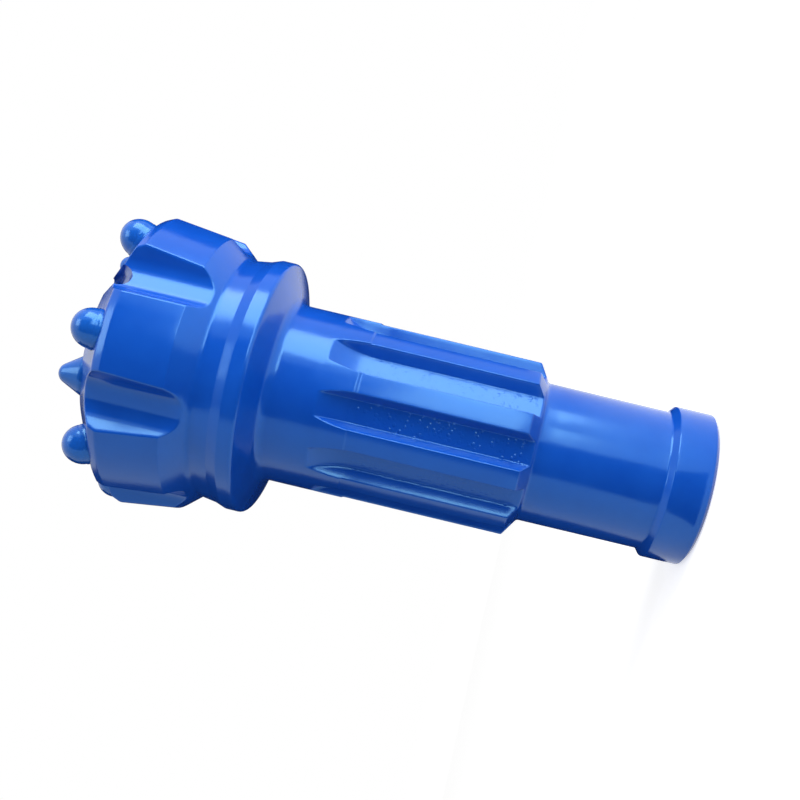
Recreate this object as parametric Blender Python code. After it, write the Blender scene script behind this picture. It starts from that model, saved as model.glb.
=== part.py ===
"""A down-the-hole button bit, standing on its strike end.

Metres, +Z up. The origin is the centre of the strike face, and the bit's axis is Z. Angles around
the axis count from the front, which faces -Y, towards -X. The body is one steel forging, turned,
milled and drilled. Each carbide button is a piece of its own, pressed into its hole.
"""

import math

import bmesh
import bpy
from mathutils import Matrix, Vector

MM = 0.001

# Strike end and retaining collar, from the strike face up
strike_chamfer_length = 1.5 * MM
strike_chamfer_depth = 2.2 * MM
collar_radius = 30.8 * MM
collar_length = 14.3 * MM
collar_slope_length = 2.2 * MM
collar_edge_round = 0.8 * MM
collar_foot_round = 1.2 * MM

# Plain stretch, on which the retaining rings slide
plain_radius = 28.1 * MM
plain_length = 49.4 * MM
plain_end_round = 1.6 * MM

# Guide, which runs in the chuck's bore
guide_radius = 35.7 * MM
guide_length = 32.2 * MM
guide_step_length = 0.8 * MM
guide_step_depth = 0.4 * MM

# Splines, driven by the chuck
spline_radius = guide_radius - guide_step_depth
spline_length = 64.8 * MM
spline_end_slope_length = 4.6 * MM
spline_end_round = 0.9 * MM
spline_count = 10
spline_groove_depth = 5.8 * MM
spline_groove_floor = guide_radius - spline_groove_depth
spline_groove_floor_width = 9.2 * MM
spline_groove_corner = 1.0 * MM
spline_flank_angle = math.radians(27)
spline_groove_middle = math.radians(3.2)
spline_cutter_radius = 30.0 * MM
spline_runout_past_guide = 12.8 * MM

# Flange, whose back bears on the chuck
flange_radius = 50.7 * MM
flange_rim_length = 5.6 * MM
flange_back_angle = math.radians(17)
flange_back_round = 3.2 * MM
flange_root_round = 4.4 * MM
flange_front_round = 1.4 * MM
flange_front_slope_length = 4.2 * MM
flange_front_slope_depth = 1.5 * MM
neck_radius = 48.0 * MM
neck_length = 7.5 * MM
neck_round = 3.0 * MM

# Head
gauge_radius = 57.8 * MM
gauge_edge_round = 2.5 * MM
gauge_chamfer_length = 3.5 * MM
gauge_chamfer_depth = 1.5 * MM
land_length = 21.7 * MM
land_slope_depth = 2.9 * MM
land_back_radius = gauge_radius - land_slope_depth
land_back_length = 7.9 * MM
land_back_round = 0.9 * MM
bevel_foot_radius = gauge_radius - gauge_chamfer_depth
bevel_foot_round = 2.5 * MM
bevel_angle = math.radians(31.5)
bevel_width = 18.3 * MM
brow_radius = bevel_foot_radius - bevel_width
brow_angle = math.radians(15)
brow_width = 16.0 * MM
brow_round = 3.0 * MM
face_radius = brow_radius - brow_width

# Flutes, one between each two gauge buttons
flute_count = 7
flute_middle = math.radians(20)
flute_depth = 8.0 * MM
flute_floor = gauge_radius - flute_depth
flute_floor_width = 11.2 * MM
flute_corner = 7.5 * MM
flute_wall_angle = math.radians(38)

# Air passages. The holes reach the face on a circle inside the gauge buttons
socket_radius = 13.6 * MM
socket_depth = 30.0 * MM
socket_mouth = 1.2 * MM
bore_radius = 10.5 * MM
bore_depth = 186.0 * MM
bore_point_angle = math.radians(59)
air_hole_count = 3
air_hole_radius = 5.0 * MM
air_hole_inset = 16.2 * MM
air_hole_middle = math.radians(-38)
face_channel_radius = 4.5 * MM
face_channel_depth = 5.0 * MM
face_channel_end_depth = 4.5 * MM
face_channel_end_past_flute = 2.2 * MM
face_channel_end_circle = flute_floor + face_channel_end_past_flute

# Carbide buttons
gauge_button_radius = 7.5 * MM
gauge_button_standout = 1.0 * MM
gauge_button_depth = 16.0 * MM
gauge_button_inset = 7.6 * MM
gauge_button_circle = gauge_radius - gauge_button_inset
face_button_radius = 7.5 * MM
face_button_standout = 0.1 * MM
face_button_depth = 15.0 * MM
face_button_nose = 4.0 * MM
face_button_cone = math.radians(33)
button_foot_chamfer = 1.0 * MM
outer_button_inset = 16.7 * MM
outer_button_circle = gauge_button_circle - outer_button_inset
outer_button_middles = (math.radians(20.9), math.radians(122.9), math.radians(-89))
inner_button_count = 3
inner_button_circle = 12.5 * MM
inner_button_middle = math.radians(-38)

# A pressed button is drawn with this much room around it
fit_gap = 0.3 * MM
# How far a cutter reaches past the surface that it cuts
overrun = 6.0 * MM

# Points closer than this are one point
merge_distance = 0.003 * MM

# Faces around a turned piece, and along an arc of it
body_sides = 72
bore_sides = 36
button_sides = 22
arc_steps = 2
flute_arc_steps = 4
nose_steps = 4
runout_steps = 6

# Radii of places on the head
air_hole_circle = gauge_button_circle - air_hole_inset

# Heights above the strike face
collar_bottom = strike_chamfer_length
collar_top = collar_bottom + collar_length
plain_bottom = collar_top + collar_slope_length
plain_top = plain_bottom + plain_length
spline_bottom = plain_top + spline_end_slope_length
spline_top = spline_bottom + spline_length
guide_bottom = spline_top + guide_step_length
guide_top = guide_bottom + guide_length
flange_bottom = guide_top + (flange_radius - guide_radius) * math.tan(flange_back_angle)
flange_top = flange_bottom + flange_rim_length
neck_bottom = flange_top + flange_front_slope_length
neck_top = neck_bottom + neck_length
land_bottom = neck_top + land_back_length
gauge_height = land_bottom + land_length
bevel_foot = gauge_height + gauge_chamfer_length
brow_height = bevel_foot + (bevel_foot_radius - brow_radius) * math.tan(bevel_angle)
face_height = brow_height + (brow_radius - face_radius) * math.tan(brow_angle)


def clear_scene():
    for old in list(bpy.data.objects):
        bpy.data.objects.remove(old, do_unlink=True)


def painted(name, colour, roughness, metallic):
    """A Principled material of one colour."""
    material = bpy.data.materials.new(name)
    material.use_nodes = True
    shader = material.node_tree.nodes["Principled BSDF"]
    shader.inputs["Base Color"].default_value = (*colour, 1)
    shader.inputs["Roughness"].default_value = roughness
    shader.inputs["Metallic"].default_value = metallic
    return material


def rounded(corners, steps=arc_steps):
    """The outline through corners of (x, y, round), each with its arc of that radius."""
    points = []
    for i, (x, y, radius) in enumerate(corners):
        here = Vector((x, y))
        if not radius:
            points.append(here)
            continue
        before = (Vector(corners[i - 1][:2]) - here).normalized()
        after = (Vector(corners[(i + 1) % len(corners)][:2]) - here).normalized()
        half = before.angle(after) / 2
        centre = here + (before + after).normalized() * (radius / math.sin(half))
        start = here + before * (radius / math.tan(half)) - centre
        turn = start.angle_signed(here + after * (radius / math.tan(half)) - centre)
        for step in range(steps + 1):
            points.append(centre + Matrix.Rotation(-turn * step / steps, 2) @ start)
    return points


def mesh_object(name, mesh, material=None):
    bmesh.ops.recalc_face_normals(mesh, faces=mesh.faces)
    data = bpy.data.meshes.new(name)
    mesh.to_mesh(data)
    mesh.free()
    data.shade_smooth()
    data.set_sharp_from_angle(angle=math.radians(30))
    piece = bpy.data.objects.new(name, data)
    bpy.context.collection.objects.link(piece)
    if material:
        data.materials.append(material)
    return piece


def turned(outline, sides):
    """A solid of revolution about Z. The outline of (radius, height) starts and ends on the axis."""
    mesh = bmesh.new()
    points = [mesh.verts.new((radius, 0, height)) for radius, height in outline]
    edges = [mesh.edges.new(pair) for pair in zip(points, points[1:])]
    bmesh.ops.spin(
        mesh, geom=points + edges, cent=(0, 0, 0), axis=(0, 0, 1),
        angle=2 * math.pi, steps=sides, use_merge=True,
    )
    bmesh.ops.remove_doubles(mesh, verts=mesh.verts, dist=merge_distance)
    return mesh


def swept(section, path):
    """A prism whose section of (across, out) points is moved along a path of (out, height) places."""
    mesh = bmesh.new()
    rings = [
        [mesh.verts.new((across, out + lift, height)) for across, out in section]
        for lift, height in path
    ]
    for low, high in zip(rings, rings[1:]):
        for k in range(len(section)):
            mesh.faces.new((low[k - 1], low[k], high[k], high[k - 1]))
    mesh.faces.new(rings[0])
    mesh.faces.new(rings[-1])
    return mesh


def around_axis(angle):
    """The turn that takes what points along +Y to this angle from the front."""
    return Matrix.Rotation(math.pi - angle, 4, "Z")


def evenly(count, middle):
    """Angles spaced evenly around the axis, from the angle middle on."""
    return [middle + 2 * math.pi * i / count for i in range(count)]


def set_around(mesh, angles):
    """Copies of the mesh around the axis, one at each angle."""
    whole = bmesh.new()
    for angle in angles:
        copy = bpy.data.meshes.new("copy")
        mesh.to_mesh(copy)
        copy.transform(around_axis(angle))
        whole.from_mesh(copy)
        bpy.data.meshes.remove(copy)
    mesh.free()
    return whole


def cut(piece, name, mesh):
    """Cuts the mesh out of the piece."""
    cutter = mesh_object(name, mesh)
    cutter.hide_render = True
    cutter.display_type = "WIRE"
    boolean = piece.modifiers.new(name, "BOOLEAN")
    boolean.operation = "DIFFERENCE"
    boolean.object = cutter


def groove_section(floor, floor_width, wall_angle, corner, steps, reach):
    """Half-open channel: a flat floor with rounded corners, and walls that lean apart."""
    top = reach + overrun
    half = floor_width / 2
    lean = (top - floor) * math.tan(wall_angle)
    return rounded([
        (-half, floor, corner),
        (half, floor, corner),
        (half + lean, top, 0),
        (-half - lean, top, 0),
    ], steps)


def body_outline():
    """Radius and height along the body's surface, from the strike face to the front face."""
    return rounded([
        (0, 0, 0),
        (collar_radius - strike_chamfer_depth, 0, 0),
        (collar_radius, collar_bottom, 0),
        (collar_radius, collar_top, collar_edge_round),
        (plain_radius, plain_bottom, collar_foot_round),
        (plain_radius, plain_top, plain_end_round),
        (spline_radius, spline_bottom, spline_end_round),
        (spline_radius, spline_top, 0),
        (guide_radius, guide_bottom, 0),
        (guide_radius, guide_top, flange_root_round),
        (flange_radius, flange_bottom, flange_back_round),
        (flange_radius, flange_top, flange_front_round),
        (flange_radius - flange_front_slope_depth, neck_bottom, 0),
        (neck_radius, neck_top, neck_round),
        (land_back_radius, land_bottom, land_back_round),
        (gauge_radius, gauge_height, gauge_edge_round),
        (bevel_foot_radius, bevel_foot, bevel_foot_round),
        (brow_radius, brow_height, brow_round),
        (face_radius, face_height, 0),
        (0, face_height, 0),
    ])


def spline_grooves():
    """Milled by a disc cutter: level, then rising in an arc until it leaves the guide."""
    section = groove_section(
        0, spline_groove_floor_width, spline_flank_angle, spline_groove_corner, arc_steps,
        spline_groove_depth,
    )
    depth = spline_groove_depth
    tip = guide_bottom + spline_runout_past_guide
    level_end = tip - math.sqrt(depth * (2 * spline_cutter_radius - depth))
    leave = math.acos(1 - (depth + fit_gap) / spline_cutter_radius)
    path = [(spline_groove_floor, plain_top - spline_end_slope_length)]
    for step in range(runout_steps + 1):
        angle = leave * step / runout_steps
        path.append((
            spline_groove_floor + spline_cutter_radius * (1 - math.cos(angle)),
            level_end + spline_cutter_radius * math.sin(angle),
        ))
    return set_around(swept(section, path), evenly(spline_count, spline_groove_middle))


def flutes():
    """Straight channels from the front face, which run out on the slope behind the gauge lands."""
    section = groove_section(
        flute_floor, flute_floor_width, flute_wall_angle, flute_corner, flute_arc_steps,
        gauge_radius,
    )
    path = [(0, neck_top), (0, face_height + overrun)]
    return set_around(swept(section, path), evenly(flute_count, flute_middle))


def air_bore():
    """The bore, with its wider socket and mouth at the strike end, and the drill's point at its end."""
    point = bore_radius / math.tan(bore_point_angle)
    return turned([
        (0, -overrun),
        (socket_radius + socket_mouth + overrun, -overrun),
        (socket_radius, socket_mouth),
        (socket_radius, socket_depth),
        (bore_radius, socket_depth + socket_radius - bore_radius),
        (bore_radius, bore_depth),
        (0, bore_depth + point),
    ], bore_sides)


def drilled(radius, low, high):
    """A straight hole between two places of (out, height), in the plane of the axis and +Y."""
    outline = [(0, 0), (radius, 0), (radius, math.dist(low, high)), (0, math.dist(low, high))]
    mesh = turned(outline, button_sides)
    lean = math.atan2(high[0] - low[0], high[1] - low[1])
    mesh.transform(Matrix.Translation((0, *low)) @ Matrix.Rotation(-lean, 4, "X"))
    return mesh


def front_height(radius):
    """The height of the front of the head at this radius."""
    if radius > brow_radius:
        return brow_height - (radius - brow_radius) * math.tan(bevel_angle)
    return face_height - max(radius - face_radius, 0) * math.tan(brow_angle)


def add_rod(mesh, start, end, radius):
    """Adds a rod between two points, with a ball at its start, to the mesh."""
    length = (end - start).length
    outline = [
        (radius * math.sin(math.pi / 2 * step / nose_steps), -radius * math.cos(math.pi / 2 * step / nose_steps))
        for step in range(nose_steps + 1)
    ]
    rod = turned([*outline, (radius, length), (0, length)], button_sides)
    turn = Vector((0, 0, 1)).rotation_difference(end - start).to_matrix().to_4x4()
    rod.transform(Matrix.Translation(start) @ turn)
    made = bpy.data.meshes.new("rod")
    rod.to_mesh(made)
    rod.free()
    mesh.from_mesh(made)
    bpy.data.meshes.remove(made)


def air_holes():
    """From the end of the bore to the front face."""
    low = (bore_radius / 2, bore_depth)
    high = (air_hole_circle, front_height(air_hole_circle))
    stretch = 1 + overrun / math.dist(low, high)
    past = (low[0] + (high[0] - low[0]) * stretch, low[1] + (high[1] - low[1]) * stretch)
    hole = drilled(air_hole_radius, low, past)
    return set_around(hole, evenly(air_hole_count, air_hole_middle))


def face_channels():
    """Round-bottomed channels that lead the air from each hole to the middle of the nearest flute."""
    whole = bmesh.new()
    pitch = 2 * math.pi / flute_count
    for hole_angle in evenly(air_hole_count, air_hole_middle):
        flute_angle = flute_middle + pitch * round((hole_angle - flute_middle) / pitch)
        start = around_axis(hole_angle) @ Vector((0, air_hole_circle, 0))
        start.z = front_height(air_hole_circle) - face_channel_depth + face_channel_radius
        end = around_axis(flute_angle) @ Vector((0, face_channel_end_circle, 0))
        end.z = front_height(face_channel_end_circle) - face_channel_end_depth + face_channel_radius
        end += (end - start).normalized() * overrun
        add_rod(whole, start, end, face_channel_radius)
    return whole


def seat(circle, lean, along):
    """The place of (out, height) that lies this far out along the axis of a button."""
    return circle + along * math.sin(lean), front_height(circle) + along * math.cos(lean)


def button_holes(radius, depth, circle, lean, angles):
    low = seat(circle, lean, -depth - fit_gap)
    high = seat(circle, lean, overrun)
    return set_around(drilled(radius + fit_gap, low, high), angles)


def round_button():
    """A cylinder under a half ball."""
    radius = gauge_button_radius
    outline = [
        (0, -gauge_button_depth),
        (radius - button_foot_chamfer, -gauge_button_depth),
        (radius, button_foot_chamfer - gauge_button_depth),
    ]
    for step in range(nose_steps + 1):
        angle = math.pi / 2 * step / nose_steps
        outline.append((radius * math.cos(angle), gauge_button_standout + radius * math.sin(angle)))
    return outline


def bullet_button():
    """A cylinder under a cone with a ball nose."""
    radius = face_button_radius
    nose_foot = face_button_nose * math.cos(face_button_cone)
    cone_top = face_button_standout + (radius - nose_foot) / math.tan(face_button_cone)
    nose_middle = cone_top - face_button_nose * math.sin(face_button_cone)
    outline = [
        (0, -face_button_depth),
        (radius - button_foot_chamfer, -face_button_depth),
        (radius, button_foot_chamfer - face_button_depth),
        (radius, face_button_standout),
    ]
    for step in range(nose_steps + 1):
        angle = face_button_cone + (math.pi / 2 - face_button_cone) * step / nose_steps
        outline.append((
            face_button_nose * math.cos(angle),
            nose_middle + face_button_nose * math.sin(angle),
        ))
    return outline


def button_ring(name, first, outline, circle, lean, angles, material):
    """Buttons of one shape around the axis, each an object placed and turned to its seat."""
    model = mesh_object(f"{name}_{first}", turned(outline, button_sides), material)
    for i, angle in enumerate(angles):
        button = model if i == 0 else bpy.data.objects.new(f"{name}_{first + i}", model.data)
        if i:
            bpy.context.collection.objects.link(button)
        out, height = seat(circle, lean, 0)
        button.matrix_world = (
            around_axis(angle)
            @ Matrix.Translation((0, out, height))
            @ Matrix.Rotation(-lean, 4, "X")
        )


clear_scene()
body_paint = painted("body_blue_paint", (0.03, 0.16, 0.66), 0.22, 0.0)
gauge_paint = painted("gauge_button_blue_paint", (0.035, 0.17, 0.62), 0.2, 0.0)
face_paint = painted("face_button_blue_paint", (0.04, 0.18, 0.6), 0.24, 0.0)

land_middle = flute_middle - math.pi / flute_count
gauge_places = (gauge_button_circle, bevel_angle, evenly(flute_count, land_middle))
outer_places = (outer_button_circle, brow_angle, outer_button_middles)
inner_places = (inner_button_circle, 0, evenly(inner_button_count, inner_button_middle))

body = mesh_object("bit_body", turned(body_outline(), body_sides), body_paint)
cut(body, "spline_groove_cutter", spline_grooves())
cut(body, "flute_cutter", flutes())
cut(body, "air_bore_cutter", air_bore())
cut(body, "air_hole_cutter", air_holes())
cut(body, "face_channel_cutter", face_channels())
cut(body, "gauge_hole_cutter", button_holes(gauge_button_radius, gauge_button_depth, *gauge_places))
cut(body, "outer_hole_cutter", button_holes(face_button_radius, face_button_depth, *outer_places))
cut(body, "inner_hole_cutter", button_holes(face_button_radius, face_button_depth, *inner_places))

button_ring("gauge_button", 1, round_button(), *gauge_places, gauge_paint)
button_ring("face_button", 1, bullet_button(), *outer_places, face_paint)
inner_first = 1 + len(outer_button_middles)
button_ring("face_button", inner_first, bullet_button(), *inner_places, face_paint)
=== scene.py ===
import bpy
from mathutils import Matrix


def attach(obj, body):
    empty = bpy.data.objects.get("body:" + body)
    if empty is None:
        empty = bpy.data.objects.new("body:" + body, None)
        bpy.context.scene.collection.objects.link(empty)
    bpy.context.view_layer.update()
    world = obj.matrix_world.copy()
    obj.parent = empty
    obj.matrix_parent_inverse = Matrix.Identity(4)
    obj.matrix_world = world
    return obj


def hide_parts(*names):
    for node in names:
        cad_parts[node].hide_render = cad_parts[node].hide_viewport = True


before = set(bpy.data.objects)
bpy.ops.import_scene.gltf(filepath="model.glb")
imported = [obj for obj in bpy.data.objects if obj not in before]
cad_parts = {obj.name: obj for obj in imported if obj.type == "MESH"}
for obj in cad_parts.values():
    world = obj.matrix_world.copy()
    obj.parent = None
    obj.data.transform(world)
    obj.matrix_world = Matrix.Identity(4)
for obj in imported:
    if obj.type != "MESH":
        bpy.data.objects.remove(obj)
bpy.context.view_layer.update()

import bpy
import numpy as np
from mathutils import Matrix

# The forging. One piece of alloy steel, turned to its outline on a lathe: bore, strike face, collar,
# plain stretch, splines, guide, flange and head. Sizes are in millimetres until a mesh is made.
MM = 0.001
bore_radius = 10.5
bore_depth = 186.0
bore_point_height = 192.309
bore_end_round = 0.6
socket_radius = 13.6
socket_depth = 30.0
socket_mouth = 1.2
socket_round = 0.5
fine_round = 0.3
strike_chamfer_length = 1.5
strike_chamfer_depth = 2.2
collar_radius = 30.8
collar_length = 14.3
collar_slope_length = 2.2
collar_chamfer_round = 0.4
collar_edge_round = 0.8
collar_foot_round = 1.2
plain_radius = 28.1
plain_length = 49.4
plain_end_round = 1.6
spline_radius = 35.3
spline_length = 64.8
spline_end_slope_length = 4.6
spline_end_round = 0.9
guide_radius = 35.7
guide_length = 32.2
guide_step_length = 0.8
flange_radius = 50.7
flange_rim_length = 5.6
flange_back_length = 4.586
flange_root_round = 4.4
flange_back_round = 1.6
flange_front_round = 1.4
flange_front_slope_length = 4.2
flange_front_slope_depth = 1.5
neck_radius = 48.0
neck_length = 7.5
neck_round = 3.0
land_back_length = 7.9
land_back_round = 0.9
land_length = 21.7
land_slope_depth = 2.9
gauge_radius = 57.8
gauge_edge_round = 2.5
gauge_chamfer_length = 3.5
gauge_chamfer_depth = 1.5
bevel_foot_radius = gauge_radius - gauge_chamfer_depth
bevel_angle = np.radians(31.5)
bevel_width = 18.3
bevel_length = 11.214
brow_radius = bevel_foot_radius - bevel_width
brow_angle = np.radians(15.0)
brow_width = 16.0
brow_length = 4.288
brow_round = 3.0
face_radius = brow_radius - brow_width
face_edge_round = 2.0

# Heights above the strike face
collar_top = strike_chamfer_length + collar_length
plain_bottom = collar_top + collar_slope_length
plain_top = plain_bottom + plain_length
spline_bottom = plain_top + spline_end_slope_length
spline_top = spline_bottom + spline_length
guide_bottom = spline_top + guide_step_length
guide_top = guide_bottom + guide_length
flange_bottom = guide_top + flange_back_length
flange_top = flange_bottom + flange_rim_length
neck_bottom = flange_top + flange_front_slope_length
neck_top = neck_bottom + neck_length
land_bottom = neck_top + land_back_length
gauge_height = land_bottom + land_length
bevel_foot = gauge_height + gauge_chamfer_length
brow_height = bevel_foot + bevel_length
face_height = brow_height + brow_length

# The mesh has more rows where the grooves leave the guide, and where the flutes cross the bevel
runout_rows_start = 131.5
runout_rows_end = 151.5
bevel_rows_radius = 49.0
bevel_rows_height = 229.26
outline_corners = [
    # radius, height, radius of the arc, points on the arc, points on the stretch after it
    (0.0, bore_point_height, 0.0, 1, 0),
    (bore_radius, bore_depth, bore_end_round, 3, 6),
    (bore_radius, socket_depth + socket_radius - bore_radius, socket_round, 3, 0),
    (socket_radius, socket_depth, socket_round, 3, 2),
    (socket_radius, socket_mouth, fine_round, 3, 0),
    (socket_radius + socket_mouth, 0.0, fine_round, 3, 3),
    (collar_radius - strike_chamfer_depth, 0.0, fine_round, 3, 1),
    (collar_radius, strike_chamfer_length, collar_chamfer_round, 4, 5),
    (collar_radius, collar_top, collar_edge_round, 5, 0),
    (plain_radius, plain_bottom, collar_foot_round, 5, 8),
    (plain_radius, plain_top, plain_end_round, 5, 10),
    (spline_radius, spline_bottom, spline_end_round, 5, 8),
    (spline_radius, runout_rows_start, 0.0, 1, 6),
    (spline_radius, spline_top, fine_round, 3, 1),
    (guide_radius, guide_bottom, fine_round, 3, 18),
    (guide_radius, runout_rows_end, 0.0, 1, 4),
    (guide_radius, guide_top, flange_root_round, 8, 4),
    (flange_radius, flange_bottom, flange_back_round, 6, 3),
    (flange_radius, flange_top, flange_front_round, 6, 3),
    (flange_radius - flange_front_slope_depth, neck_bottom, neck_round, 4, 3),
    (neck_radius, neck_top, neck_round, 7, 14),
    (gauge_radius - land_slope_depth, land_bottom, land_back_round, 5, 8),
    (gauge_radius, gauge_height, gauge_edge_round, 5, 1),
    (bevel_foot_radius, bevel_foot, gauge_edge_round, 6, 12),
    (bevel_rows_radius, bevel_rows_height, 0.0, 1, 4),
    (brow_radius, brow_height, brow_round, 6, 6),
    (face_radius, face_height, face_edge_round, 5, 8),
    (0.0, face_height, 0.0, 1, 0),
]
body_columns = 350


def outline_rows(corners):
    """Points along straight stretches joined by arcs.

    An arc starts and ends on its stretches, its radius times the tangent of half its turn away
    from the corner. The points between are its start, turned about its centre.
    """
    place = np.array([corner[:2] for corner in corners], float)
    way = np.diff(place, axis=0)
    way /= np.hypot(way[:, 0], way[:, 1])[:, None]
    turn = np.zeros(len(place))
    turn[1:-1] = np.arctan2(
        way[:-1, 0] * way[1:, 1] - way[:-1, 1] * way[1:, 0], (way[:-1] * way[1:]).sum(1)
    )
    reach = np.array([corner[2] for corner in corners]) * np.tan(np.abs(turn) / 2)
    rows = []
    for i, (_, _, bend, arc_points, stretch_points) in enumerate(corners):
        if bend:
            start = place[i] - way[i - 1] * reach[i]
            inward = np.sign(turn[i]) * np.array([-way[i - 1, 1], way[i - 1, 0]])
            centre = start + bend * inward
            spoke = start - centre
            quarter = np.array([-spoke[1], spoke[0]])
            angle = turn[i] * np.linspace(0, 1, arc_points)[:, None]
            rows.append(centre + spoke * np.cos(angle) + quarter * np.sin(angle))
        else:
            rows.append(place[i:i + 1])
        if stretch_points:
            low = place[i] + way[i] * reach[i]
            high = place[i + 1] - way[i] * reach[i + 1]
            share = np.linspace(0, 1, stretch_points + 2)[1:-1, None]
            rows.append(low + (high - low) * share)
    return np.concatenate(rows)


def crowded(share, stops, angles):
    """The angle at each share of a half pitch: straight ramps that pass each angle at its stop."""
    total = np.zeros(np.broadcast(share, angles[-1]).shape)
    for low, high, start, end in zip(stops, stops[1:], angles, angles[1:]):
        total = total + (end - start) * np.clip((share - low) / (high - low), 0, 1)
    return total


def smooth_min(a, b, width):
    """The smaller of the two, less a parabola where they differ by less than the width."""
    share = np.clip(0.5 + 0.5 * (b - a) / width, 0, 1)
    return b + (a - b) * share - width * share * (1 - share)


def closed_shells(name, shells):
    """Each shell is a grid of points whose first and last rows are one point each: its poles.

    Corner indices count along each row and on to the next. A face joins two neighbours in one
    row with the two above them, and triangles close the rows next to the poles.
    """
    points = []
    quads = []
    fans = []
    base = 0
    for shell in shells:
        rows, columns = shell.shape[:2]
        points.append(shell[0, :1])
        points.append(shell[1:-1].reshape(-1, 3))
        points.append(shell[-1, :1])
        index = base + 1 + np.arange((rows - 2) * columns).reshape(rows - 2, columns)
        beside = np.roll(index, -1, axis=1)
        quads.append(
            np.stack([index[:-1], index[1:], beside[1:], beside[:-1]], -1).reshape(-1, 4)
        )
        low_pole = np.full(columns, base)
        high_pole = np.full(columns, base + 1 + index.size)
        fans.append(np.stack([low_pole, index[0], beside[0]], -1))
        fans.append(np.stack([high_pole, beside[-1], index[-1]], -1))
        base += index.size + 2
    mesh = bpy.data.meshes.new(name)
    faces = np.concatenate(quads).tolist() + np.concatenate(fans).tolist()
    mesh.from_pydata((np.concatenate(points) * MM).tolist(), [], faces)
    mesh.shade_smooth()
    piece = bpy.data.objects.new(name, mesh)
    bpy.context.collection.objects.link(piece)
    return piece


outline = outline_rows(outline_corners)
row_radius = outline[:, :1]
row_height = outline[:, 1:]
outside = np.arange(len(outline))[:, None] > np.argmax(row_height[:, 0] == 0)

# The ten splines are what ten milled grooves leave. A disc cutter runs up each groove, level at
# first, and then leaves the guide in an arc.
groove_count = 10
groove_pitch = 2 * np.pi / groove_count
groove_middle = np.radians(3.2)
groove_depth = 5.8
groove_floor = guide_radius - groove_depth
groove_half_width = 4.6
groove_flank = np.tan(np.radians(27.0))
groove_corner_round = 0.7
groove_edge_round = 0.6
groove_foot = plain_top - spline_end_slope_length
runout_past_guide = 12.8
groove_tip = guide_bottom + runout_past_guide
past_tip = 1.0
cutter_radius = 30.0

period = np.arange(body_columns)[None, :] * groove_count / body_columns
nearest_groove = np.round(period)
groove_share = 2 * (period - nearest_groove)
level_end = groove_tip - np.sqrt(groove_depth * (2 * cutter_radius - groove_depth))
past_level = np.clip(row_height - level_end, 0, cutter_radius)
floor = groove_floor + cutter_radius - np.sqrt(cutter_radius ** 2 - past_level ** 2)
in_grooves = outside & (row_height > groove_foot) & (row_height < groove_tip + past_tip)

# The angles at which a groove's wall or floor meets the outline, and at which its floor ends
least_radius = 1.0
wall_start = groove_half_width - floor * groove_flank
across = 1 + groove_flank ** 2
height_on_wall = (
    np.sqrt(np.clip(across * row_radius ** 2 - wall_start ** 2, 0, None))
    - groove_flank * wall_start
) / across
wall_edge = np.arccos(np.clip(height_on_wall / np.maximum(row_radius, least_radius), -1, 1))
floor_edge = np.arccos(np.clip(floor / np.maximum(row_radius, floor), -1, 1))
corner_angle = np.arctan(groove_half_width / floor)
edge_angle = np.where(row_radius * np.cos(corner_angle) < floor, floor_edge, wall_edge)

# The mesh has more columns at a groove's corners and edges. Past its ends they run on.
groove_shares = [0, 0.22, 0.5, 0.61, 0.89, 1]
before_corner = np.radians(1.3)
after_corner = np.radians(1.0)
corner_to_edge = np.radians(1.2)
before_edge = np.radians(0.8)
edge_band = np.radians(1.6)
plain_edge = np.radians(12.2)
edge_angle = np.where(in_grooves, edge_angle, plain_edge)
edge_low = np.maximum(edge_angle - before_edge, corner_angle + corner_to_edge)
groove_turn = crowded(np.abs(groove_share), groove_shares, [
    np.zeros_like(edge_low),
    corner_angle - before_corner,
    corner_angle + after_corner,
    edge_low,
    edge_low + edge_band,
    np.full_like(edge_low, groove_pitch / 2),
])
groove_offset = np.sign(groove_share) * groove_turn
groove_columns = groove_middle + groove_pitch * nearest_groove + groove_offset

# Seven flutes run down the head between the gauge buttons, one for the cuttings of each. They are
# milled with a round-nosed cutter and run out on the slope behind the gauge lands.
flute_count = 7
flute_pitch = 2 * np.pi / flute_count
flute_middle = np.radians(20.0)
flute_depth = 8.0
flute_floor = gauge_radius - flute_depth
flute_half_width = 5.6
flute_corner = 7.5
flute_edge_round = 0.8
flute_wall = np.tan(np.radians(38.0))
flute_reach = 70.0
flute_section = outline_rows([
    (0.0, flute_floor, 0.0, 1, 4),
    (flute_half_width, flute_floor, flute_corner, 24, 12),
    (flute_half_width + (flute_reach - flute_floor) * flute_wall, flute_reach, 0.0, 1, 0),
])
section_angle = np.arctan2(flute_section[:, 0], flute_section[:, 1])
section_radius = np.hypot(flute_section[:, 0], flute_section[:, 1])

# The columns that ran along the grooves turn a little on the guide and the neck, so that on the
# head there are more of them at the edges of the flutes.
flute_shares = [0, 0.6, 0.84, 1]
first_flute_column = 16
least_mouth = np.radians(3.0)
mouth_band = np.radians(0.9)
turn_start = 152.0
turn_end = 188.0
flute_column = np.arange(body_columns)[None, :] - first_flute_column
flute_period = flute_column * flute_count / body_columns
nearest_flute = np.round(flute_period)
flute_share = 2 * (flute_period - nearest_flute)
mouth_angle = np.maximum(np.interp(row_radius, section_radius, section_angle), least_mouth)
flute_turn = crowded(np.abs(flute_share), flute_shares, [
    np.zeros_like(mouth_angle),
    mouth_angle - mouth_band,
    mouth_angle + mouth_band,
    np.full_like(mouth_angle, flute_pitch / 2),
])
flute_offset = np.sign(flute_share) * flute_turn
flute_columns = flute_middle + flute_pitch * nearest_flute + flute_offset
blend = np.clip((row_height - turn_start) / (turn_end - turn_start), 0, 1) * outside
column_angle = groove_columns + (flute_columns - groove_columns) * blend

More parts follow.
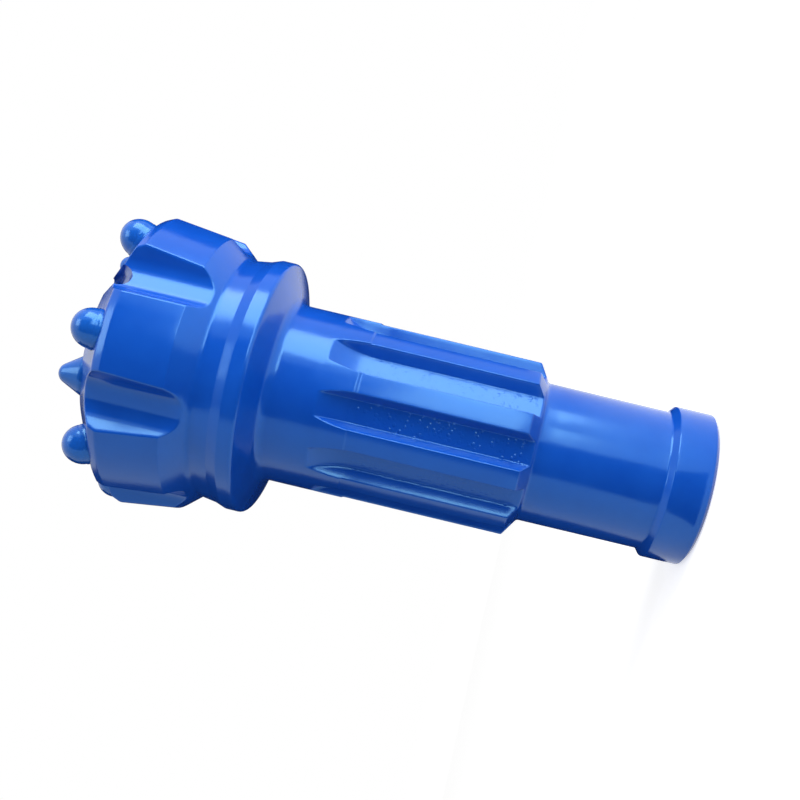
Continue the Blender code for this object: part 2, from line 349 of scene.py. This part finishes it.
# The surface is the smallest of three radii: the outline's, the groove's and the flute's. Where
# nothing is cut, the last two lie far outside the bit.
uncut = 200.0
groove_slant = np.abs(groove_offset)
groove_wall = -wall_start / (np.cos(groove_slant) * groove_flank - np.sin(groove_slant))
groove_radius = -smooth_min(-floor / np.cos(groove_slant), -groove_wall, groove_corner_round)
groove_radius = np.where(in_grooves, groove_radius, uncut)
flute_radius = np.interp(np.abs(flute_offset), section_angle, section_radius)
flute_radius = np.where(outside & (row_height >= neck_top), flute_radius, uncut)
radius = smooth_min(row_radius, groove_radius, groove_edge_round)
radius = smooth_min(radius, flute_radius, flute_edge_round)
radius[[0, -1]] = 0
body_points = np.stack([
    -radius * np.sin(column_angle),
    -radius * np.cos(column_angle),
    np.broadcast_to(row_height, radius.shape),
], -1)
body = closed_shells("forged_body", [body_points])

# Air goes up the bore and out through three slanted holes, and a round-bottomed channel leads it
# from each hole to a flute. A hole is drilled for each button, with a trace of room round it.
gauge_button_radius = 7.5
gauge_button_depth = 16.0
gauge_button_inset = 7.6
gauge_button_circle = gauge_radius - gauge_button_inset
face_button_radius = 7.5
face_button_depth = 15.0
outer_button_inset = 16.7
outer_button_circle = gauge_button_circle - outer_button_inset
outer_button_angles = np.radians([20.9, 122.9, -89.0])
inner_button_circle = 12.5
inner_button_angles = np.radians([-38.0, 82.0, 202.0])
button_columns = 56
seat_side_gap = 0.12
seat_floor_gap = 0.3
air_hole_radius = 5.0
air_hole_inset = 16.2
air_hole_circle = gauge_button_circle - air_hole_inset
air_hole_angles = inner_button_angles
hole_columns = 48
channel_radius = 4.5
channel_depth = 5.0
channel_end_depth = 4.5
channel_end_past_flute = 2.2
channel_end_circle = flute_floor + channel_end_past_flute
cutter_overrun = 6.0


def front_height(circle):
    """The height of the front of the head: level, then falling at the brow's and bevel's angle."""
    if circle > brow_radius:
        return brow_height - (circle - brow_radius) * np.tan(bevel_angle)
    return face_height - max(circle - face_radius, 0) * np.tan(brow_angle)


def spoke_to(circle, angle, height):
    """The point on a circle about the axis, at the angle from the front towards the left."""
    return np.array([-circle * np.sin(angle), -circle * np.cos(angle), height])


def turned_on(profile, foot, along, columns):
    """Turns a profile of (radius, height) about a line.

    Each point is the foot, plus its height along the line, plus its radius times a spoke that
    goes round the line. The first spoke is square to the line and to a fixed slant.
    """
    slant = [1.0, 2.0, 3.0]
    along = along / np.linalg.norm(along)
    across = np.cross(along, slant)
    across /= np.linalg.norm(across)
    beside = np.cross(across, along)
    turn = np.linspace(0, 2 * np.pi, columns, endpoint=False)[:, None]
    spoke = np.cos(turn) * across + np.sin(turn) * beside
    profile = np.asarray(profile, float)
    return foot + profile[:, 1, None, None] * along + profile[:, 0, None, None] * spoke


def button_seat(circle, lean, angle):
    """Where a button's axis crosses the front of the head, and the way that the axis points."""
    foot = spoke_to(circle, angle, front_height(circle))
    return foot, spoke_to(np.sin(lean), angle, np.cos(lean))


def rod(radius, low, high):
    """A round bar between two heights on its axis, closed at both ends."""
    return [(0, low), (radius, low), (radius, high), (0, high)]


def seat_drills(seats, radius, depth):
    """A bar for each seat, wider and longer than the button by the room that it is given."""
    drill = rod(radius + seat_side_gap, -depth - seat_floor_gap, cutter_overrun)
    return [turned_on(drill, foot, along, button_columns) for foot, along in seats]


gauge_seats = [
    button_seat(gauge_button_circle, bevel_angle, angle)
    for angle in flute_middle - flute_pitch / 2 + flute_pitch * np.arange(flute_count)
]
outer_seats = [
    button_seat(outer_button_circle, brow_angle, angle) for angle in outer_button_angles
]
inner_seats = [button_seat(inner_button_circle, 0.0, angle) for angle in inner_button_angles]
face_seats = outer_seats + inner_seats

air_holes = []
channels = []
for angle in air_hole_angles:
    low = spoke_to(bore_radius / 2, angle, bore_depth)
    high = spoke_to(air_hole_circle, angle, front_height(air_hole_circle))
    length = np.linalg.norm(high - low) + cutter_overrun
    air_holes.append(turned_on(rod(air_hole_radius, 0, length), low, high - low, hole_columns))
    start_height = front_height(air_hole_circle) - channel_depth + channel_radius
    start = spoke_to(air_hole_circle, angle, start_height)
    flute_angle = flute_middle + flute_pitch * np.round((angle - flute_middle) / flute_pitch)
    end_height = front_height(channel_end_circle) - channel_end_depth + channel_radius
    end = spoke_to(channel_end_circle, flute_angle, end_height)
    length = np.linalg.norm(end - start) + cutter_overrun
    ball = np.linspace(0, np.pi / 2, 10)
    nose = np.stack([channel_radius * np.sin(ball), -channel_radius * np.cos(ball)], -1)
    profile = np.concatenate([nose, [(channel_radius, length), (0, length)]])
    channels.append(turned_on(profile, start, end - start, hole_columns))

seat_holes = seat_drills(gauge_seats, gauge_button_radius, gauge_button_depth)
seat_holes += seat_drills(face_seats, face_button_radius, face_button_depth)
cutters = [
    closed_shells("seat_drill", seat_holes),
    closed_shells("air_drill", air_holes),
    closed_shells("channel_mill", channels),
]
for cutter in cutters:
    drill = body.modifiers.new(cutter.name, "BOOLEAN")
    drill.operation = "DIFFERENCE"
    drill.solver = "EXACT"
    drill.object = cutter
drilled = bpy.data.meshes.new_from_object(
    body.evaluated_get(bpy.context.evaluated_depsgraph_get())
)
body.modifiers.clear()
body.data = drilled
for cutter in cutters:
    bpy.data.objects.remove(cutter)
sharp_from = np.radians(50)
body.data.shade_smooth()
body.data.set_sharp_from_angle(angle=sharp_from)

# Paint. The whole bit is sprayed in gloss blue, over the steel and the carbide buttons alike. The
# coat pools a little, so its colour and its gloss drift, and it has a fine orange peel.
sprayed = bpy.data.node_groups.new("sprayed_paint", "ShaderNodeTree")
for socket, kind, start in [
    ("Vector", "NodeSocketVector", (0, 0, 0)),
    ("Deep", "NodeSocketColor", (0, 0, 0.5, 1)),
    ("Light", "NodeSocketColor", (0, 0, 0.6, 1)),
    ("Gloss", "NodeSocketFloat", 0.25),
    ("Drift", "NodeSocketFloat", 0.1),
]:
    sprayed.interface.new_socket(socket, in_out="INPUT", socket_type=kind).default_value = start
for socket, kind in [
    ("Color", "NodeSocketColor"), ("Roughness", "NodeSocketFloat"), ("Height", "NodeSocketFloat")
]:
    sprayed.interface.new_socket(socket, in_out="OUTPUT", socket_type=kind)


def pattern(tree, kind, place, **values):
    """A texture node on these coordinates, with its inputs set to the values."""
    node = tree.nodes.new(kind)
    tree.links.new(place, node.inputs["Vector"])
    for socket, value in values.items():
        node.inputs[socket].default_value = value
    return node


def ramp(tree, value, low, high, shape="LINEAR"):
    """0 where the value is low, 1 where it is high, and a ramp of this shape between."""
    node = tree.nodes.new("ShaderNodeMapRange")
    node.interpolation_type = shape
    node.inputs["From Min"].default_value = low
    node.inputs["From Max"].default_value = high
    tree.links.new(value, node.inputs["Value"])
    return node.outputs["Result"]


def worked_out(tree, operation, *terms):
    """What a Math node puts out. Each term is a number or another node's output."""
    node = tree.nodes.new("ShaderNodeMath")
    node.operation = operation
    for socket, term in zip(node.inputs, terms):
        if isinstance(term, bpy.types.NodeSocket):
            tree.links.new(term, socket)
        else:
            socket.default_value = term
    return node.outputs["Value"]


given = sprayed.nodes.new("NodeGroupInput")
put_out = sprayed.nodes.new("NodeGroupOutput")
cloud = pattern(
    sprayed, "ShaderNodeTexNoise", given.outputs["Vector"], Scale=34, Detail=5, Roughness=0.6
)
peel = pattern(sprayed, "ShaderNodeTexNoise", given.outputs["Vector"], Scale=260, Detail=1)
peel_height = 0.5
pool = ramp(sprayed, cloud.outputs["Fac"], low=0.3, high=0.7)
gloss = worked_out(sprayed, "MULTIPLY_ADD", pool, given.outputs["Drift"], given.outputs["Gloss"])
ripple = worked_out(sprayed, "MULTIPLY", peel.outputs["Fac"], peel_height)
mix = sprayed.nodes.new("ShaderNodeMix")
mix.data_type = "RGBA"
colour_without_pool = mix.inputs[6]
colour_in_pool = mix.inputs[7]
mixed_colour = mix.outputs[2]
for start, end in [
    (pool, mix.inputs["Factor"]),
    (given.outputs["Deep"], colour_without_pool),
    (given.outputs["Light"], colour_in_pool),
    (mixed_colour, put_out.inputs["Color"]),
    (gloss, put_out.inputs["Roughness"]),
    (ripple, put_out.inputs["Height"]),
]:
    sprayed.links.new(start, end)


def painted(name, deep, light, gloss, drift):
    """A gloss paint that drifts between two colours, and between two roughnesses."""
    material = bpy.data.materials.new(name)
    material.use_nodes = True
    tree = material.node_tree
    shader = tree.nodes["Principled BSDF"]
    shader.inputs["IOR"].default_value = 1.7
    shader.inputs["Specular Tint"].default_value = (0.3, 0.72, 1, 1)
    place = tree.nodes.new("ShaderNodeTexCoord")
    place.name = "place_on_piece"
    coat = tree.nodes.new("ShaderNodeGroup")
    coat.name = "sprayed_coat"
    coat.node_tree = sprayed
    coat.inputs["Deep"].default_value = (*deep, 1)
    coat.inputs["Light"].default_value = (*light, 1)
    coat.inputs["Gloss"].default_value = gloss
    coat.inputs["Drift"].default_value = drift
    bump = tree.nodes.new("ShaderNodeBump")
    bump.name = "paint_bump"
    bump.inputs["Strength"].default_value = 0.5
    bump.inputs["Distance"].default_value = 0.0001
    for start, end in [
        (place.outputs["Object"], coat.inputs["Vector"]),
        (coat.outputs["Color"], shader.inputs["Base Color"]),
        (coat.outputs["Roughness"], shader.inputs["Roughness"]),
        (coat.outputs["Height"], bump.inputs["Height"]),
        (bump.outputs["Normal"], shader.inputs["Normal"]),
    ]:
        tree.links.new(start, end)
    return material


body_paint = painted(
    "body_gloss_blue", deep=(0.003, 0.06, 0.41), light=(0.004, 0.076, 0.47), gloss=0.14, drift=0.07
)
body_tree = body_paint.node_tree


def between(value, low, high, soft):
    """1 where the value lies between the two, with a ramp as wide as soft outside each."""
    rise = ramp(body_tree, value, (low - soft) * MM, low * MM, "SMOOTHSTEP")
    fall = ramp(body_tree, value, (high + soft) * MM, high * MM, "SMOOTHSTEP")
    return worked_out(body_tree, "MULTIPLY", rise, fall)


# The groove that faces the camera has small pits on its floor, in patches, and the others have a
# trace of them. They lie where the distance from the axis and the height are the floor's.
pit_depth = 4.5
pit_rim = 0.45
pit_bottom = 0.2
patch_start = 0.45
patch_full = 0.6
strength_elsewhere = 0.2
place = body_tree.nodes["place_on_piece"].outputs["Object"]
parts = body_tree.nodes.new("ShaderNodeSeparateXYZ")
flat = body_tree.nodes.new("ShaderNodeVectorMath")
flat.operation = "MULTIPLY"
flat.inputs[1].default_value = (1, 1, 0)
from_axis = body_tree.nodes.new("ShaderNodeVectorMath")
from_axis.operation = "LENGTH"
body_tree.links.new(place, parts.inputs["Vector"])
body_tree.links.new(place, flat.inputs[0])
body_tree.links.new(flat.outputs["Vector"], from_axis.inputs[0])
cells = pattern(body_tree, "ShaderNodeTexVoronoi", place, Scale=480)
patches = pattern(body_tree, "ShaderNodeTexNoise", place, Scale=95)

at_floor_radius = between(from_axis.outputs["Value"], low=29.0, high=30.5, soft=0.4)
at_floor_height = between(parts.outputs["Z"], low=74.0, high=146.0, soft=6.0)
in_front_groove = between(parts.outputs["X"], low=-8.0, high=5.0, soft=3.0)
in_floor = worked_out(body_tree, "MULTIPLY", at_floor_radius, at_floor_height)
hollow = ramp(body_tree, cells.outputs["Distance"], pit_rim, pit_bottom, "SMOOTHSTEP")
patchy = ramp(body_tree, patches.outputs["Fac"], patch_start, patch_full)
front_patches = worked_out(body_tree, "MULTIPLY", in_front_groove, patchy)
strength = worked_out(
    body_tree, "MULTIPLY_ADD", front_patches, 1 - strength_elsewhere, strength_elsewhere
)
floor_hollows = worked_out(body_tree, "MULTIPLY", in_floor, hollow)
pits = worked_out(body_tree, "MULTIPLY", floor_hollows, strength)
peeled = body_tree.nodes["sprayed_coat"].outputs["Height"]
skin = worked_out(body_tree, "MULTIPLY_ADD", pits, pit_depth, peeled)
body_tree.links.new(skin, body_tree.nodes["paint_bump"].inputs["Height"])
body.data.materials.clear()
body.data.materials.append(body_paint)
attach(body, "root")
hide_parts("bit_body")

# Gauge buttons. Tungsten carbide with a ball nose, ground, and pressed into the bevel, one on each
# land. A narrow chamfer marks where the ball meets the ground cylinder.
foot_chamfer = 1.0
gauge_ground_heights = [-8.0, 0.0, 0.7]
gauge_ball_foot = 0.95
gauge_ball_radius = 7.3
gauge_ball_height = 7.4
gauge_ball_turn = np.linspace(0, np.pi / 2, 16)


def button_profile(radius, depth, ground_heights, *nose):
    """A flat foot with a chamfer, points up the ground cylinder, and then the nose."""
    foot = [(0, -depth), (radius - foot_chamfer, -depth), (radius, foot_chamfer - depth)]
    return np.concatenate([foot, [(radius, height) for height in ground_heights], *nose])


gauge_ball = np.stack([
    gauge_ball_radius * np.cos(gauge_ball_turn),
    gauge_ball_foot + gauge_ball_height * np.sin(gauge_ball_turn),
], -1)
gauge_profile = button_profile(
    gauge_button_radius, gauge_button_depth, gauge_ground_heights, gauge_ball
)
gauge_paint = painted(
    "gauge_button_gloss_blue", deep=(0.004, 0.075, 0.42), light=(0.008, 0.1, 0.48), gloss=0.15,
    drift=0.06,
)
for number, (foot, along) in enumerate(gauge_seats, 1):
    shell = turned_on(gauge_profile, foot, along, button_columns)
    button = closed_shells(f"gauge_button_pressed_{number}", [shell])
    button.data.materials.append(gauge_paint)
    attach(button, "root")
    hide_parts(f"gauge_button_{number}")

# Face buttons. Tungsten carbide with a cone and a ball nose, pressed into the front: three on the
# brow, leaning with it, and three upright ones round the middle.
face_ground_heights = [-7.0, -0.3]
cone_angle = np.radians(33.0)
cone_foot = 0.1
cone_foot_radius = 7.4
nose_radius = 4.0
nose_foot = nose_radius * np.cos(cone_angle)
cone_top = cone_foot + (face_button_radius - nose_foot) / np.tan(cone_angle)
nose_middle = cone_top - nose_radius * np.sin(cone_angle)
nose_turn = np.linspace(cone_angle, np.pi / 2, 10)
face_cone = np.linspace((cone_foot_radius, cone_foot), (nose_foot, cone_top), 8)[:-1]
face_nose = np.stack([
    nose_radius * np.cos(nose_turn), nose_middle + nose_radius * np.sin(nose_turn)
], -1)
face_profile = button_profile(
    face_button_radius, face_button_depth, face_ground_heights, face_cone, face_nose
)
face_paint = painted(
    "face_button_gloss_blue", deep=(0.005, 0.08, 0.42), light=(0.009, 0.1, 0.47), gloss=0.15,
    drift=0.06,
)
for number, (foot, along) in enumerate(face_seats, 1):
    shell = turned_on(face_profile, foot, along, button_columns)
    button = closed_shells(f"face_button_pressed_{number}", [shell])
    button.data.materials.append(face_paint)
    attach(button, "root")
    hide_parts(f"face_button_{number}")

# The studio: a pale floor under the strike end, a white room and three soft lights. As the bit lies
# in the photograph, the wide light is overhead, a small one is by the shank and one faces the head.
floor_reach = 6.0
floor_glow = 0.6
room_light = 0.5


def seen_directly(tree):
    """1 for rays from the camera, off gloss or through glass, and 0 for those that light things."""
    ray = tree.nodes.new("ShaderNodeLightPath").outputs
    seen = worked_out(tree, "MAXIMUM", ray["Is Camera Ray"], ray["Is Glossy Ray"])
    return worked_out(tree, "MAXIMUM", seen, ray["Is Transmission Ray"])


def softbox(name, place, aim, width, height, power):
    """A rectangular light at a place, turned to its aim."""
    light = bpy.data.lights.new(name, "AREA")
    light.shape = "RECTANGLE"
    light.size = width
    light.size_y = height
    light.energy = power
    lamp = bpy.data.objects.new(name, light)
    bpy.context.collection.objects.link(lamp)
    upwards = [0.0, 0.3, 1.0]
    ahead = np.array(aim, float) - np.array(place, float)
    ahead /= np.linalg.norm(ahead)
    right = np.cross(ahead, upwards)
    right /= np.linalg.norm(right)
    up = np.cross(right, ahead)
    lamp.matrix_world = Matrix([
        [right[0], up[0], -ahead[0], place[0]],
        [right[1], up[1], -ahead[1], place[1]],
        [right[2], up[2], -ahead[2], place[2]],
        [0, 0, 0, 1],
    ])


floor_mesh = bpy.data.meshes.new("studio_floor")
floor_corners = [(-1, -1, 0), (1, -1, 0), (1, 1, 0), (-1, 1, 0)]
floor_mesh.from_pydata((floor_reach * np.array(floor_corners)).tolist(), [], [(0, 1, 2, 3)])
floor_plane = bpy.data.objects.new("studio_floor", floor_mesh)
bpy.context.collection.objects.link(floor_plane)
floor_paper = bpy.data.materials.new("pale_floor_paper")
floor_paper.use_nodes = True
paper_tree = floor_paper.node_tree
paper = paper_tree.nodes["Principled BSDF"]
paper.inputs["Base Color"].default_value = (0.8, 0.8, 0.8, 1)
paper.inputs["Roughness"].default_value = 0.9
paper.inputs["Emission Color"].default_value = (1, 1, 1, 1)
glow = worked_out(paper_tree, "MULTIPLY", seen_directly(paper_tree), floor_glow)
paper_tree.links.new(glow, paper.inputs["Emission Strength"])
floor_mesh.materials.append(floor_paper)

world = bpy.data.worlds.new("white_room")
bpy.context.scene.world = world
world.use_nodes = True
room_tree = world.node_tree
room = room_tree.nodes["Background"]
room.inputs["Color"].default_value = (1, 1, 1, 1)
level = worked_out(
    room_tree, "MULTIPLY_ADD", seen_directly(room_tree), 1 - room_light, room_light
)
room_tree.links.new(level, room.inputs["Strength"])

softbox(
    "overhead_softbox", place=(0.526, -0.245, 0.305), aim=(0, 0, 0.3), width=0.36, height=0.6,
    power=4.2,
)
softbox(
    "low_softbox", place=(0.307, -0.492, 0.09), aim=(0, 0, 0.09), width=0.24, height=0.17,
    power=0.6,
)
softbox(
    "face_softbox", place=(0.1, -0.28, 0.75), aim=(0, 0, 0.24), width=0.26, height=0.26,
    power=0.7,
)

# Black cards, as round a glossy product on a white set: two beyond the camera keep the facing
# surfaces deep, and those behind and below the bit draw its outline. Only the gloss shows them.
card_distance = 1.5
card_foot = 0.001
back_card_top = 1.4
front_card_top = 2.2
high_card_foot = 0.25
above_floor = 0.0005
past_bit = 0.042
lying_middle = 0.5
lying = [(past_bit, above_floor), (lying_middle, above_floor), (card_distance, above_floor)]
standing = [(card_distance, card_foot), (card_distance, back_card_top)]
front_top = (card_distance, front_card_top)
high_foot = (card_distance, high_card_foot)
black = bpy.data.materials.new("matt_black_card")
black.use_nodes = True
card_shader = black.node_tree.nodes["Principled BSDF"]
card_shader.inputs["Base Color"].default_value = (0.01, 0.01, 0.01, 1)
card_shader.inputs["Specular IOR Level"].default_value = 0
for name, first_angle, last_angle, columns, card_rows in [
    ("front_card", -36, 18, 7, [*lying, *standing, front_top]),
    ("high_front_card", 18, 36, 3, [high_foot, front_top]),
    ("back_card", 112, 180, 7, standing),
    ("low_card", 180, 248, 7, [*lying, *standing]),
]:
    turn = np.radians(np.linspace(first_angle, last_angle, columns))
    distance, height = np.array(card_rows).T[:, :, None]
    points = np.stack(
        np.broadcast_arrays(distance * np.sin(turn), -distance * np.cos(turn), height), -1
    )
    index = np.arange(points[..., 0].size).reshape(points.shape[:2])
    faces = np.stack([index[:-1, :-1], index[:-1, 1:], index[1:, 1:], index[1:, :-1]], -1)
    card_mesh = bpy.data.meshes.new(name)
    card_mesh.from_pydata(points.reshape(-1, 3).tolist(), [], faces.reshape(-1, 4).tolist())
    card_mesh.materials.append(black)
    card = bpy.data.objects.new(name, card_mesh)
    bpy.context.collection.objects.link(card)
    card.visible_camera = False
    card.visible_diffuse = False
    card.visible_shadow = False
    card.visible_transmission = False

# The camera looks square at the side of the bit, with the head to the left and a little higher
# than the strike end. Its place is in metres.
camera_x = -0.00836
camera_y = -0.3836
camera_z = 0.09004
roll = np.radians(13.42)
camera_data = bpy.data.cameras.new("photo_camera")
camera_data.sensor_width = 36
camera_data.lens = 42.93
camera_data.shift_x = -0.0906
camera_data.shift_y = 0.0731
camera_data.clip_start = 0.01
camera = bpy.data.objects.new("photo_camera", camera_data)
bpy.context.collection.objects.link(camera)
camera.matrix_world = Matrix([
    [np.sin(roll), np.cos(roll), 0, camera_x],
    [0, 0, -1, camera_y],
    [-np.cos(roll), np.sin(roll), 0, camera_z],
    [0, 0, 0, 1],
])
bpy.context.scene.camera = camera
bpy.context.scene.view_settings.view_transform = "Standard"
